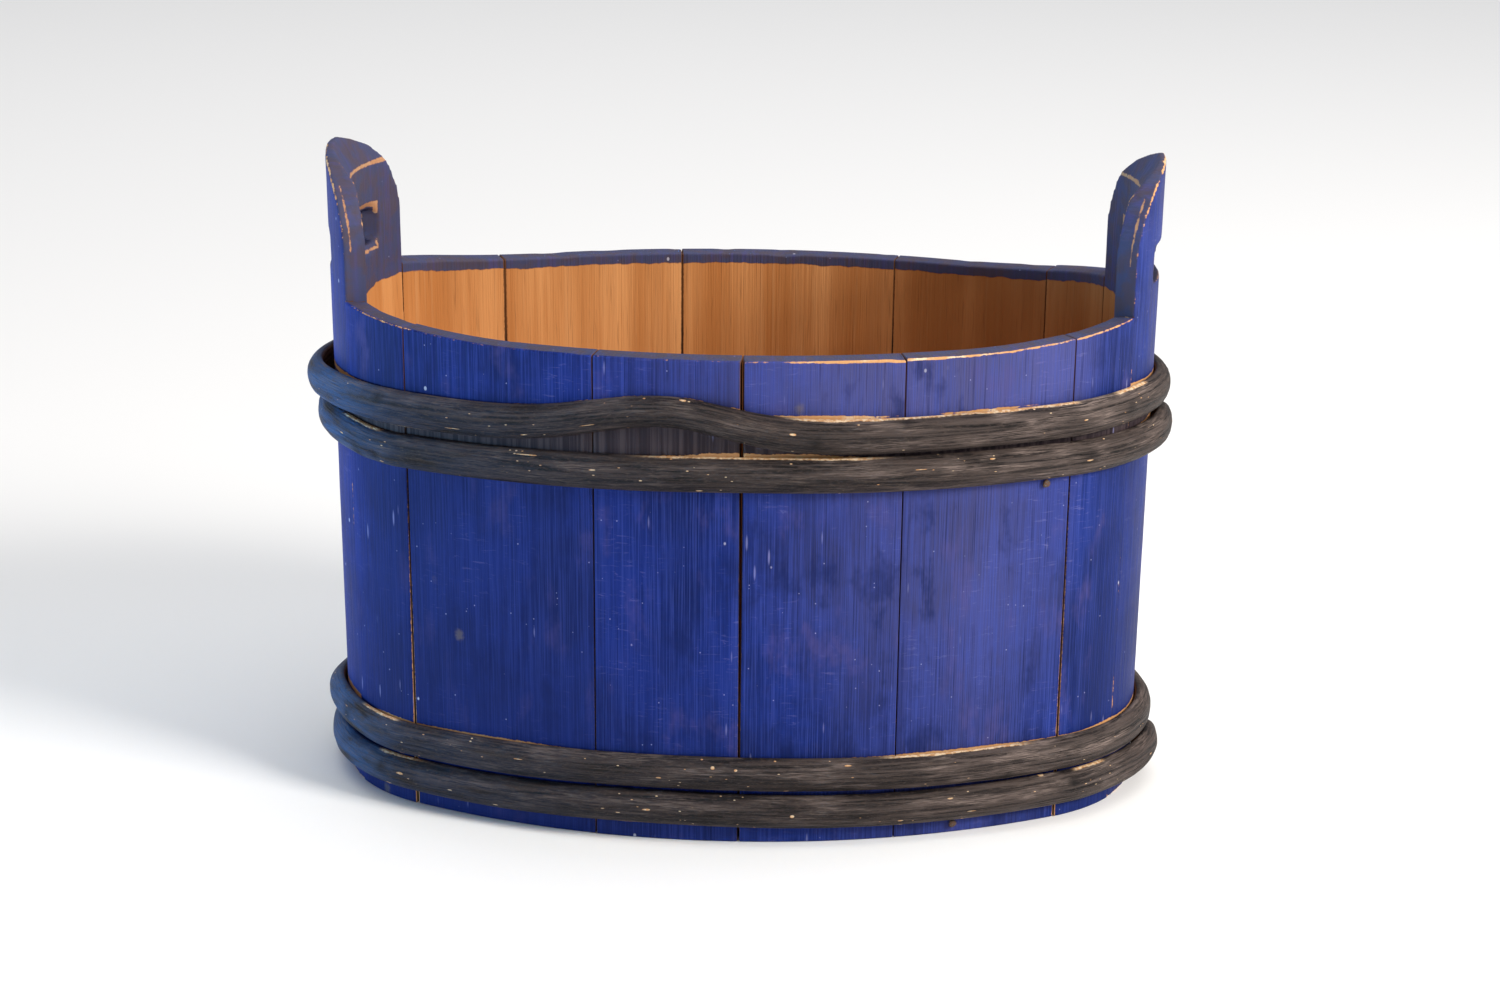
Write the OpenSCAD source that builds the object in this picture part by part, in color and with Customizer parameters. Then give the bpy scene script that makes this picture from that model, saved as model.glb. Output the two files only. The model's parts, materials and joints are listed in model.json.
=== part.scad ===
// Oval coopered tub: staves standing on a grooved head, two tall ear staves with carrying slots,
// and four split-sapling hoops. +X runs to the right ear, -Y is the front, +Z is up.
// The origin is on the ground, under the middle of the tub.

/* [Tub] */
// Length of the rim over the staves, along X
rim_length = 600; // [560:10:660]
// Depth of the rim over the staves, along Y
rim_depth = 330; // [310:5:360]
// Height of the rim at the middle of the long sides
rim_height = 357; // [350:1:400]
// Radius of the plan's rounded ends, over the staves
end_radius = 122; // [115:1:130]
// How far the rim rises from the long sides to the ears
sheer = 16; // [4:1:24]
// How far the foot is drawn in on every side
taper = 3; // [0:0.5:12]
// Thickness of the staves
wall = 17.5; // [15:0.5:21]
// Gap between neighbouring staves
joint_gap = 0.4; // [0.2:0.1:1]
// Width at the rim of the one joint that has shrunk open, at the middle of the front
open_joint = 3; // [1:0.5:5]

/* [Ears] */
// Height of the ears above the rim beside them
ear_rise = 97; // [85:1:115]
// Height over which the ears keep their full width
ear_straight = 34; // [30:1:45]
// Thickness left at the top of the ears by the chamfer on their inside
ear_edge = 4; // [3:0.5:10]
// Angle of that chamfer to the ground
chamfer_angle = 60; // [45:1:70]
// Width of the hand slot
slot_width = 80; // [60:1:84]
// Height of the hand slot
slot_height = 25; // [20:1:30]
// Height of the slot's middle above the rim beside the ear
slot_rise = 26; // [24:1:34]

/* [Head] */
// Height of the bottom boards' underside above the ground
head_height = 22; // [18:1:40]
// Thickness of the bottom boards
head_thickness = 16; // [12:1:20]
// Depth of the groove in the staves that holds the head
groove_depth = 6; // [4:0.5:8]
// Width of that groove
groove_width = 10; // [8:0.5:12]
// Width of the middle board
middle_board = 96; // [80:1:120]
// Diameter of the dowels that join the bottom boards
dowel_diameter = 8; // [6:1:10]
// Length of the dowels
dowel_length = 44; // [30:1:60]

/* [Hoops] */
// Height of a hoop rod's section
rod_height = 26; // [20:0.5:26]
// Depth of a hoop rod's section
rod_depth = 13; // [9:0.5:16]
// Length over which the two ends of a hoop are scarfed together
lap_length = 110; // [80:5:150]
// Height of the bow in the uppermost hoop, left of the middle of the front
bow_height = 16; // [0:1:20]
// How far the bent rods stand off the staves at the tub's ends
stand_off = 7; // [1:0.5:10]
// Diameter of the hoop nails' shanks
nail_diameter = 2.4; // [2:0.1:3]

/* [Hidden] */

BLUE = [0.12, 0.15, 0.45];
BARE = [0.72, 0.46, 0.24];
BARK = [0.10, 0.09, 0.09];
IRON = [0.20, 0.17, 0.15];

// The plan is a four-centre oval: two end arcs and two side arcs that meet without a corner.
// A place on it is given by the direction it faces, in degrees anticlockwise from +X.
half_length = rim_length / 2;
half_depth = rim_depth / 2;
end_centre = half_length - end_radius;
side_radius = (half_length ^ 2 - 2 * half_length * end_radius + half_depth ^ 2) / (2 * (half_depth - end_radius));
side_centre = side_radius - half_depth;
corner = atan2(side_centre, end_centre);   // direction in which an end arc meets a side arc
end_arc = end_radius * corner * PI / 90;
side_arc = side_radius * (180 - 2 * corner) * PI / 180;
perimeter = 2 * (end_arc + side_arc);

// Each arc: centre x, centre y, radius at the rim, and the directions it covers.
ARCS = [
    [end_centre, 0, end_radius, -corner, corner],
    [0, -side_centre, side_radius, corner, 180 - corner],
    [-end_centre, 0, end_radius, 180 - corner, 180 + corner],
    [0, side_centre, side_radius, 180 + corner, 360 - corner],
    [end_centre, 0, end_radius, 360 - corner, 360 + corner]];

// Directions of the stave joints. Three of them stand where the arcs meet, and one has opened.
OPEN_JOINT = 270.5;
JOINTS = [33, corner, 77, 96, 112, 140, 213, 180 + corner, 259, OPEN_JOINT, 283, 360 - corner, 324, 393];

ear_top = rim_height + sheer + ear_rise;
slot_z = rim_height + sheer + slot_rise;
seam_lap = 0.01;   // degrees by which the two arcs of one stave run into each other
groove_z = head_height + (head_thickness - groove_width) / 2;
fit = 0.4;   // clearance of the head in its groove

// Heights of the hoop rods' middles
TOP_UPPER = 303.5;
TOP_LOWER = 276;
BASE_UPPER = 52;
BASE_LOWER = 24.5;
lap_clearance = 0.6;

ring_pitch = 17;        // length of one step along a hoop
lap_ramp = 30;          // length over which a rod climbs on to its own other end
scarf_tip = 0.22;       // part of the rod's depth that is left at a scarfed end
nail_length = 26;
nail_head_diameter = 6.5;
nail_head_thickness = 1.6;

// How far the outside of a stave lies inside the rim's outline, at height z
function draw_in(z) = taper * (1 - z / rim_height);

function arc_at(dir) = [for (arc = ARCS) if (dir >= arc[3] - 0.001 && dir <= arc[4] + 0.001) arc][0];
function turn(dir) = dir < -corner ? turn(dir + 360) : dir > 360 + corner ? turn(dir - 360) : dir;
// The point that faces dir on the outline, moved outwards by out
function plan_point(dir, out) =
    let (d = turn(dir), arc = arc_at(d), r = arc[2] + out) [arc[0] + r * cos(d), arc[1] + r * sin(d)];
// The direction faced after walking a length anticlockwise from the middle of the back
function direction_after(length) =
    let (lap = floor(length / perimeter))
    360 * lap + lookup(length - lap * perimeter, [
        [0, 90],
        [side_arc / 2, 180 - corner],
        [side_arc / 2 + end_arc, 180 + corner],
        [side_arc * 1.5 + end_arc, 360 - corner],
        [side_arc * 1.5 + end_arc * 2, 360 + corner],
        [perimeter, 450]]);
function degrees_on(arc, length) = length / arc[2] * 180 / PI;

// ---- Staves ----

// Section of a stave in the plane of its arc's radius: drawn in to the foot, with the groove for the head
module stave_section(r, top) {
    inner = r - wall;
    polygon([
        [inner - draw_in(0), 0],
        [r - draw_in(0), 0],
        [r - draw_in(top), top],
        [inner - draw_in(top), top],
        [inner - draw_in(groove_z + groove_width), groove_z + groove_width],
        [inner - draw_in(groove_z) + groove_depth, groove_z + groove_width],
        [inner - draw_in(groove_z) + groove_depth, groove_z],
        [inner - draw_in(groove_z), groove_z]]);
}

// The full-height blank between two directions. A stave that runs on from one arc into the next is
// two turned pieces in one.
module stave_blank(from, to, top) {
    start = from + degrees_on(arc_at(from + 1), joint_gap / 2);
    end = to - degrees_on(arc_at(to - 1), joint_gap / 2);
    for (arc = ARCS) {
        low = max(start, arc[3] - seam_lap);
        high = min(end, arc[4] + seam_lap);
        if (high - low > 1)
            translate([arc[0], arc[1], 0])
                rotate_extrude(angle = high - low, start = low, $fn = arc[2] > 200 ? 360 : 144)
                    stave_section(arc[2], top);
    }
}

// Everything above the rim: level over the long sides, then curving up to the ears
module above_rim() {
    level = half_length / 2;
    run = half_length - level;
    curve = (run ^ 2 + sheer ^ 2) / (2 * sheer);
    steps = 12;
    high = ear_top + 20;
    rim = [for (i = [0:steps]) let (x = (run + 10) * i / steps)
        [level + x, rim_height + curve - sqrt(curve ^ 2 - x ^ 2)]];
    mirrored = [for (i = [steps:-1:0]) [-rim[i][0], rim[i][1]]];
    rotate([90, 0, 0])
        linear_extrude(rim_depth + 100, center = true)
            polygon(concat(mirrored, rim, [[rim[steps][0], high], [-rim[steps][0], high]]));
}

// The wedge of air in the joint that has opened
module open_wedge() {
    at = plan_point(OPEN_JOINT, 0);
    translate([at[0], at[1] + wall, 0])
        rotate([90, 0, OPEN_JOINT - 270])
            linear_extrude(3 * wall, center = true)
                polygon([[0, 60], [open_joint / 2, rim_height + 5], [-open_joint / 2, rim_height + 5]]);
}

module stave(number) {
    from = JOINTS[number];
    to = JOINTS[number + 1];
    color(BLUE)
        difference() {
            stave_blank(from, to, rim_height + sheer + 5);
            above_rim();
            if (from == OPEN_JOINT || to == OPEN_JOINT) open_wedge();
            nail_holes(from, to);
        }
}

// Corners of an ear's outline from its shoulder to its crown: the part of the half width, and the part
// of the height between shoulder and crown
EAR_CORNERS = [[1, 0], [0.97, 0.22], [0.87, 0.5], [0.76, 0.66], [0.62, 0.81], [0.4, 0.92], [0.15, 1]];

// Those corners for an ear of a given half angle, as [direction, z]
function ear_corners(half) = [for (c = EAR_CORNERS)
    [half * c[0], rim_height + sheer + ear_straight + (ear_rise - ear_straight) * c[1]]];

// The cut along one edge of the outline, between corners a and b, going in towards the arc's centre
module edge_cut(a, b, below) {
    run = end_radius * (a[0] - b[0]) * PI / 180;
    rise = b[1] - a[1];
    edge = norm([run, rise]);
    block = 60;
    rotate([0, 0, (a[0] + b[0]) / 2])
        translate([end_radius, 0, (a[1] + b[1]) / 2])
            rotate([atan2(run, rise), 0, 0])
                translate([-block, 0, -edge / 2 - below])
                    cube([2 * block, block, edge + below + 40]);
}

module edge_cuts(half) {
    corners = ear_corners(half);
    for (side = [0, 1])
        mirror([0, side, 0])
            for (i = [0:len(corners) - 2])
                edge_cut(corners[i], corners[i + 1], i == 0 ? 0 : 10);
}

// The cut that takes the inner corner off the ear's top, turned about the end arc's centre
module crown_chamfer() {
    edge = end_radius - ear_edge;
    run = wall - ear_edge + 2;
    drop = run * tan(chamfer_angle);
    rotate_extrude(angle = 120, start = -60, $fn = 144)
        polygon([[edge, ear_top], [edge, ear_top + 5], [edge - run, ear_top + 5], [edge - run, ear_top - drop]]);
}

// The hand slot, right through the ear, with round corners
module ear_slot() {
    round_corner = 7;
    translate([end_radius, 0, slot_z])
        rotate([0, 90, 0])
            linear_extrude(4 * wall, center = true) {
                square([slot_height - 2 * round_corner, slot_width], center = true);
                square([slot_height, slot_width - 2 * round_corner], center = true);
                for (x = [-1, 1], y = [-1, 1])
                    translate([x * (slot_height / 2 - round_corner), y * (slot_width / 2 - round_corner)])
                        circle(round_corner, $fn = 32);
            }
}

module ear_stave(number) {
    from = JOINTS[number];
    to = JOINTS[number + 1];
    half = (to - from) / 2;
    middle = (to + from) / 2;
    centre = [cos(middle) > 0 ? end_centre : -end_centre, 0, 0];
    color(BLUE)
        difference() {
            stave_blank(from, to, ear_top);
            translate(centre)
                rotate([0, 0, middle]) {
                    edge_cuts(half);
                    crown_chamfer();
                    ear_slot();
                }
            nail_holes(from, to);
        }
}

// ---- Head ----

// The oval that the head's edge follows, inset from the rim's outline
module head_outline(inset) {
    steps = 120;
    polygon([for (i = [0:steps - 1]) plan_point(direction_after(perimeter * i / steps), -inset)]);
}

module head() {
    tongue_inset = wall - groove_depth + draw_in(groove_z) + fit;
    body_inset = wall + draw_in(head_height) + fit;
    translate([0, 0, head_height]) linear_extrude(head_thickness) head_outline(body_inset);
    translate([0, 0, groove_z + fit / 2]) linear_extrude(groove_width - fit) head_outline(tongue_inset);
}

module dowels(gap) {
    for (x = [-140, 0, 140], side = [-1, 1])
        translate([x, side * (middle_board / 2), head_height + head_thickness / 2])
            rotate([90, 0, 0])
                cylinder(d = dowel_diameter + 2 * gap, h = dowel_length + 10 * gap, center = true, $fn = 32);
}

// One board: the part of the head between two values of y
module bottom_board(low, high) {
    color(BARE)
        difference() {
            intersection() {
                head();
                translate([-half_length, low + fit / 4, 0])
                    cube([rim_length, high - low - fit / 2, head_height + head_thickness + 1]);
            }
            dowels(0.1);
        }
}

module bottom_dowels() {
    color(BARE) dowels(0);
}

// ---- Hoops ----

// Where the scarfed ends of the hoops lie: distance from the middle of the back to the lap's start
LAP_START = [-170, 60, -60, 130];

// A smooth hump of height 1 around a direction
function hump(dir, peak, width) = exp(-((dir - peak) / width) ^ 2);

// Height of a rod's middle. The uppermost rod bows upwards left of the middle of the front, and the
// others wander a little, as split saplings do.
function rod_z(which, dir) =
    which == 0 ? TOP_UPPER + bow_height * hump(dir, 264.5, dir < 264.5 ? 8.4 : 6.8) + 3 * hump(dir, 325, 30) :
    which == 1 ? TOP_LOWER + hump(dir, 270, 8) - 3.5 * hump(dir, 238, 18) :
    which == 2 ? BASE_UPPER + 2.5 * hump(dir, 268, 14) + 6 * hump(dir, 200, 22) :
    BASE_LOWER + 2 * hump(dir, 264, 10);
// How far a rod's back stands off the staves
function rod_gap(which, dir) = 0.3 + stand_off * (
    which == 0 ? hump(dir, 188, 22) :
    which == 1 ? 0.4 * hump(dir, 352, 24) :
    which == 2 ? 0.15 * hump(dir, 188, 24) : hump(dir, 352, 22));

// Depths of a rod's back and front face at a distance from the start of its lap, as parts of its full depth
function scarf(along) =
    along < lap_length ? [0, scarf_tip + (1 - scarf_tip) * along / lap_length] :
    along < perimeter - lap_ramp ? [0, 1] :
    along < perimeter ?
        let (k = (along - perimeter + lap_ramp) / lap_ramp, climb = scarf_tip * (3 - 2 * k) * k * k)
        [climb, 1 + 0.1 * k] :
        let (k = (along - perimeter) / lap_length)
        [scarf_tip + (1 - scarf_tip) * k, 1.1 + 0.12 * k];

// One ring of a rod's half-round section
function rod_ring(which, along) =
    let (dir = direction_after(LAP_START[which] + along),
         depth = scarf(along),
         clear = along > perimeter - lap_ramp ? lap_clearance : 0,
         z = rod_z(which, dir),
         base = rod_gap(which, dir) - draw_in(z),
         back = base + clear + depth[0] * rod_depth,
         front = base + depth[1] * rod_depth)
    [for (a = [-90:30:90])
        let (out = back + (front - back) * (0.12 + 0.88 * cos(a)), p = plan_point(dir, out))
        [p[0], p[1], z + sin(a) * rod_height / 2],
     for (s = [0.8, -0.8])
        let (p = plan_point(dir, back))
        [p[0], p[1], z + s * rod_height / 2]];

module hoop(which) {
    length = perimeter + lap_length;
    steps = ceil(length / ring_pitch);
    rings = [for (i = [0:steps]) rod_ring(which, length * i / steps)];
    n = len(rings[0]);
    points = [for (ring = rings, p = ring) p];
    skin = [for (i = [0:steps - 1], j = [0:n - 1])
        let (a = i * n + j, b = i * n + (j + 1) % n)
        [a, a + n, b + n, b]];
    color(BARK)
        difference() {
            polyhedron(points, concat(skin,
                [[for (j = [0:n - 1]) j]],
                [[for (j = [n - 1:-1:0]) steps * n + j]]), convexity = 10);
            nail_shanks(NAILS);
        }
}

// ---- Nails ----

// Each nail: the direction it faces, its height, and how far its head stands out from the staves
function lap_nail(which, part) =
    let (dir = direction_after(LAP_START[which] + lap_length * part))
    [dir, rod_z(which, dir), rod_gap(which, dir) + rod_depth * 1.16];
NAILS = [for (which = [0:3], part = [0.3, 0.7]) lap_nail(which, part)];
STAY_NAILS = [[295, TOP_LOWER - rod_height / 2 - 3.6, 3], [288, BASE_LOWER - rod_height / 2 - 3.6, 3]];

module nail_shanks(nails) {
    for (nail = nails)
        place_nail(nail)
            cylinder(d = nail_diameter, h = nail_length, $fn = 24);
}

// Stands its children on a nail's axis: the tip at 0 and the head at nail_length
module place_nail(nail) {
    at = plan_point(nail[0], nail[2] - draw_in(nail[1]) - nail_length);
    translate([at[0], at[1], nail[1]])
        rotate([0, 90, nail[0]])
            children();
}

module nail_holes(from, to) {
    nail_shanks([for (nail = concat(NAILS, STAY_NAILS)) if (turn(nail[0]) > from && turn(nail[0]) < to) nail]);
}

module hoop_nails() {
    color(IRON)
        for (nail = concat(NAILS, STAY_NAILS)) {
            nail_shanks([nail]);
            place_nail(nail)
                translate([0, 0, nail_length - nail_head_thickness])
                    cylinder(d = nail_head_diameter, h = nail_head_thickness, $fn = 24);
        }
}

ear_stave(12);  // ear_stave_right
stave(0);  // back_stave_1
stave(1);  // back_stave_2
stave(2);  // back_stave_3
stave(3);  // back_stave_4
stave(4);  // back_stave_5
ear_stave(5);  // ear_stave_left
stave(6);  // front_stave_1
stave(7);  // front_stave_2
stave(8);  // front_stave_3
stave(9);  // front_stave_4
stave(10);  // front_stave_5
stave(11);  // front_stave_6
bottom_board(-half_depth, -middle_board / 2);  // bottom_board_front
bottom_board(-middle_board / 2, middle_board / 2);  // bottom_board_middle
bottom_board(middle_board / 2, half_depth);  // bottom_board_back
bottom_dowels();
hoop(0);  // hoop_top_upper
hoop(1);  // hoop_top_lower
hoop(2);  // hoop_base_upper
hoop(3);  // hoop_base_lower
hoop_nails();
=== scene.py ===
"""An oval coopered tub: painted staves, two tall ears, a grooved-in bottom and split-sapling hoops.

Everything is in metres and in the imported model's frame: +X to the right ear, -Y to the front, +Z up.
"""
import json
import math

import bmesh
import bpy
import numpy as np
from mathutils import Matrix, Vector, noise

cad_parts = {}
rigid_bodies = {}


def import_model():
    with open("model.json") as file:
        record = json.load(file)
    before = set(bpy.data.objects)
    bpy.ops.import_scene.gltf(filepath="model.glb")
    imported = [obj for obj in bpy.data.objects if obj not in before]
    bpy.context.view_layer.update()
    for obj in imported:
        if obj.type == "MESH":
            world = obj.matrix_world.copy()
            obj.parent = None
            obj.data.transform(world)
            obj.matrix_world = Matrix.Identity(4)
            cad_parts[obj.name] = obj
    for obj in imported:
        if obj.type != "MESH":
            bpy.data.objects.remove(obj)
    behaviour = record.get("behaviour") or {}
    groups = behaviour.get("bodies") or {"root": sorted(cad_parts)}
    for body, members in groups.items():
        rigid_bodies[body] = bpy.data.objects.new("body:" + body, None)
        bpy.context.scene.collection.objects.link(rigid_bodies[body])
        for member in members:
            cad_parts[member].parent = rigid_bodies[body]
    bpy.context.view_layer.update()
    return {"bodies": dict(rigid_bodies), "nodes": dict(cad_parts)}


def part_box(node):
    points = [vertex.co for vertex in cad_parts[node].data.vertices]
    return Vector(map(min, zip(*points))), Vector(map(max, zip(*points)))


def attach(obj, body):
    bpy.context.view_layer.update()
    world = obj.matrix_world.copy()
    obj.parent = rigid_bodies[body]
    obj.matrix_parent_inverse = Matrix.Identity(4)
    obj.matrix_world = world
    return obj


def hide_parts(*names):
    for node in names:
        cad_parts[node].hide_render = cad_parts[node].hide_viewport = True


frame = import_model()
BODY = next(iter(frame["bodies"]))
MM = 0.001

# ---- Camera ----

LENS = 72.15
CAMERA_AT = (0.064, -2.1255, 0.9035)
CAMERA_YAW = 1.56      # degrees to the left of +Y
CAMERA_DOWN = 18.2     # degrees below the horizon
CAMERA_ROLL = 0.57


def make_camera():
    data = bpy.data.cameras.new("camera")
    data.lens = LENS
    data.sensor_width = 36
    camera = bpy.data.objects.new("camera", data)
    bpy.context.collection.objects.link(camera)
    turn = (Matrix.Rotation(math.radians(CAMERA_YAW), 4, "Z")
            @ Matrix.Rotation(math.radians(90 - CAMERA_DOWN), 4, "X")
            @ Matrix.Rotation(math.radians(CAMERA_ROLL), 4, "Z"))
    camera.matrix_world = Matrix.Translation(CAMERA_AT) @ turn
    bpy.context.scene.camera = camera


make_camera()
bpy.context.scene.view_settings.view_transform = "Standard"

# ---- The plan: a four-centre oval, with each place given by the direction that it faces ----

HALF_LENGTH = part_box("ear_stave_right")[1][0]
HALF_DEPTH = -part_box("front_stave_3")[0][1]
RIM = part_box("front_stave_3")[1][2]
END_RADIUS = 122 * MM
WALL = 17.5 * MM
TAPER = 3 * MM           # how far the foot is drawn in from the rim
SHEER = 16 * MM          # how far the rim rises towards the ears
END_X = HALF_LENGTH - END_RADIUS
SIDE_RADIUS = ((HALF_LENGTH ** 2 - 2 * HALF_LENGTH * END_RADIUS + HALF_DEPTH ** 2)
               / (2 * (HALF_DEPTH - END_RADIUS)))
SIDE_Y = SIDE_RADIUS - HALF_DEPTH
CORNER = math.degrees(math.atan2(SIDE_Y, END_X))
END_ARC = END_RADIUS * math.radians(2 * CORNER)
SIDE_ARC = SIDE_RADIUS * math.radians(180 - 2 * CORNER)
TURNS = np.array([-CORNER, CORNER, 180 - CORNER, 180 + CORNER, 360 - CORNER])
TURN_LENGTHS = np.cumsum([0, END_ARC, SIDE_ARC, END_ARC, SIDE_ARC])
PERIMETER = TURN_LENGTHS[-1]


def plan(direction, out):
    """x and y of the points that face direction (degrees) on the outline, moved outwards by out."""
    d = np.radians(direction)
    c, s = np.cos(d), np.sin(d)
    at_end = np.degrees(np.arctan2(np.abs(s), np.abs(c))) < CORNER
    radius = np.where(at_end, END_RADIUS, SIDE_RADIUS) + out
    x = np.where(at_end, np.sign(c) * END_X, 0) + radius * c
    y = np.where(at_end, 0, -np.sign(s) * SIDE_Y) + radius * s
    return x, y


def facing(x, y):
    """The direction that points face, in degrees, and how far outside the outline they are."""
    at_end = np.degrees(np.arctan2(np.abs(y), np.abs(x) - END_X)) < CORNER
    dx = x - np.where(at_end, np.sign(x) * END_X, 0)
    dy = y + np.where(at_end, 0, np.sign(y) * SIDE_Y)
    out = np.hypot(dx, dy) - np.where(at_end, END_RADIUS, SIDE_RADIUS)
    return np.degrees(np.arctan2(dy, dx)) % 360, out


def length_at(direction):
    """Length of outline between the first corner and a direction, anticlockwise."""
    lap, rest = np.divmod(direction + CORNER, 360)
    return lap * PERIMETER + np.interp(rest, np.append(TURNS + CORNER, 360)[:5], TURN_LENGTHS)


def direction_at(length):
    lap, rest = np.divmod(length, PERIMETER)
    return lap * 360 + np.interp(rest, TURN_LENGTHS, TURNS)


def rim_z(x):
    """Height of the rim: level over the long sides, then curving up to the ears."""
    level = HALF_LENGTH / 2
    run = HALF_LENGTH - level
    curve = (run ** 2 + SHEER ** 2) / (2 * SHEER)
    past = np.clip(np.abs(x) - level, 0, run)
    return RIM + curve - np.sqrt(curve ** 2 - past ** 2)


def draw_in(z):
    return TAPER * (1 - z / RIM)


def hump(direction, peak, width):
    return np.exp(-((np.asarray(direction) - peak) / width) ** 2)


def smooth_noise(points, scale, seed=0.0):
    """Perlin noise from -1 to 1 at each point; scale is cycles per metre along each axis."""
    scaled = np.asarray(points) * np.asarray(scale) + np.array([seed, seed * 1.7, seed * 0.3])
    return np.array([noise.noise(Vector(p)) for p in scaled])


# ---- Meshes and their attributes ----

def link(name, mesh, node):
    piece = bpy.data.objects.new(name, mesh)
    bpy.context.collection.objects.link(piece)
    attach(piece, BODY)
    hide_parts(node)


def grid_faces(rows, columns):
    """Quads between the rows of closed loops that have columns points each."""
    r, c = np.meshgrid(np.arange(rows - 1), np.arange(columns), indexing="ij")
    after = (c + 1) % columns
    return np.stack([r * columns + c, r * columns + after, (r + 1) * columns + after, (r + 1) * columns + c],
                    axis=-1).reshape(-1, 4).tolist()


def closed_mesh(name, points, faces):
    """A mesh with all its faces turned outwards."""
    mesh = bpy.data.meshes.new(name)
    mesh.from_pydata(points.tolist(), [], faces)
    work = bmesh.new()
    work.from_mesh(mesh)
    bmesh.ops.recalc_face_normals(work, faces=work.faces)
    work.to_mesh(mesh)
    work.free()
    return mesh


def welded(mesh):
    """The mesh as a bmesh, with vertices that lie on each other joined."""
    work = bmesh.new()
    work.from_mesh(mesh)
    bmesh.ops.remove_doubles(work, verts=work.verts, dist=0.01 * MM)
    return work


def set_facts(mesh, facts):
    """Smooth shading, and the named facts at the mesh's vertices, each a number or a triple."""
    for key, values in facts.items():
        values = np.asarray(values, dtype=np.float32)
        if values.ndim == 2:
            mesh.attributes.new(key, "FLOAT_VECTOR", "POINT").data.foreach_set("vector", values.ravel())
        else:
            mesh.attributes.new(key, "FLOAT", "POINT").data.foreach_set("value", values)
    mesh.shade_smooth()


def build_mesh(name, points, faces, facts):
    mesh = closed_mesh(name, points, faces)
    set_facts(mesh, facts)
    return mesh


# ---- Hoops ----

ROD_HEIGHT = 26 * MM
ROD_DEPTH = 13 * MM
HOOPS = ["hoop_top_upper", "hoop_top_lower", "hoop_base_upper", "hoop_base_lower"]
ROD_Z = [303.5 * MM, 276 * MM, 52 * MM, 24.5 * MM]
LAP_START = [-170 * MM, 60 * MM, -60 * MM, 130 * MM]
LAP_LENGTH = 110 * MM
LAP_RAMP = 30 * MM
LAP_CLEARANCE = 0.6 * MM
SCARF_TIP = 0.22
ROD_STEP = 3.5 * MM

# Knots and branch stubs: rod, direction, part of the half height, radius and how far it stands out in mm
KNOTS = [
    (0, 236, 0.55, 7, 0.7), (0, 283, 0.9, 6, 1.6), (0, 276, -0.2, 9, 0.9), (0, 317, 0.1, 8, 0.8),
    (1, 233.8, -0.4, 6.5, -2.6), (1, 226, -0.6, 9, 0.8), (1, 301, 0.3, 8, 0.7), (1, 60, 0.2, 8, 0.9),
    (2, 214, 0.1, 9, 0.7), (2, 292, -0.6, 7, 0.9), (2, 100, 0.4, 7, 0.9), (3, 232, 0.3, 8, 0.8),
    (3, 268, -0.4, 6, -1.2), (3, 301, 0.5, 9, 1.0), (3, 128, 0.0, 8, 0.9)]

# Where a rod's top or bottom edge is rubbed bare: rod, 1 for top or -1 for bottom, direction, spread
RUBBED_EDGES = [
    (0, 1, 281, 7), (0, 1, 292, 6), (0, 1, 322, 9), (1, 1, 272, 9), (1, 1, 224, 10), (1, -1, 301, 5),
    (2, 1, 228, 9), (2, 1, 288, 6), (2, -1, 246, 6), (3, 1, 236, 8), (3, -1, 262, 5), (3, 1, 310, 7),
    (0, -1, 240, 8), (0, 1, 70, 12), (1, 1, 120, 12), (2, 1, 100, 12), (3, 1, 60, 10)]

# Larger chips through the hoops' paint: rod, direction, part of the half height, length and height in mm.
# The height is in grain coordinates, where a rod is twice as tall as it is.
CHIPS = [
    (3, 263.4, 0.1, 5.5, 2.6), (0, 274.3, 0.25, 4.2, 3.4), (3, 274.7, 0.05, 3, 5), (2, 268.5, 0.6, 2.6, 4.2),
    (2, 270.3, 0.5, 2.4, 3.2), (2, 279, 0.75, 4.5, 1.8), (0, 298.5, 0.1, 3, 2), (3, 240.1, 0.2, 5, 3.4),
    (3, 261.1, -0.2, 3.2, 1.4), (3, 259.9, 0, 2.4, 1.2), (0, 259, -0.35, 9, 1.2), (0, 248, -0.5, 12, 1),
    (1, 254, 0.8, 16, 1.3), (1, 263, -0.2, 2.2, 1.8), (1, 284, 0.4, 7, 1), (2, 253, 0.3, 6, 1.1),
    (1, 266.5, 0.4, 1.8, 1.5), (3, 289, -0.3, 6, 1.3), (0, 105, 0.2, 6, 2.5), (1, 75, -0.2, 5, 2),
    (2, 120, 0.3, 5, 2.4)]


def rod_z(which, direction):
    """Height of a rod's middle. The uppermost rod bows upwards left of the middle of the front."""
    if which == 0:
        bow = np.where(direction < 264.5, hump(direction, 264.5, 8.4), hump(direction, 264.5, 6.8))
        return ROD_Z[0] + 16 * MM * bow + 3 * MM * hump(direction, 325, 30)
    if which == 1:
        return ROD_Z[1] + MM * hump(direction, 270, 8) - 3.5 * MM * hump(direction, 238, 18)
    if which == 2:
        return ROD_Z[2] + 2.5 * MM * hump(direction, 268, 14) + 6 * MM * hump(direction, 200, 22)
    return ROD_Z[3] + 2 * MM * hump(direction, 264, 10)


def rod_gap(which, direction):
    """How far a rod's back stands off the staves."""
    share = [hump(direction, 188, 22), 0.4 * hump(direction, 352, 24),
             0.15 * hump(direction, 188, 24), hump(direction, 352, 22)]
    return 0.3 * MM + 7 * MM * share[which]


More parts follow.
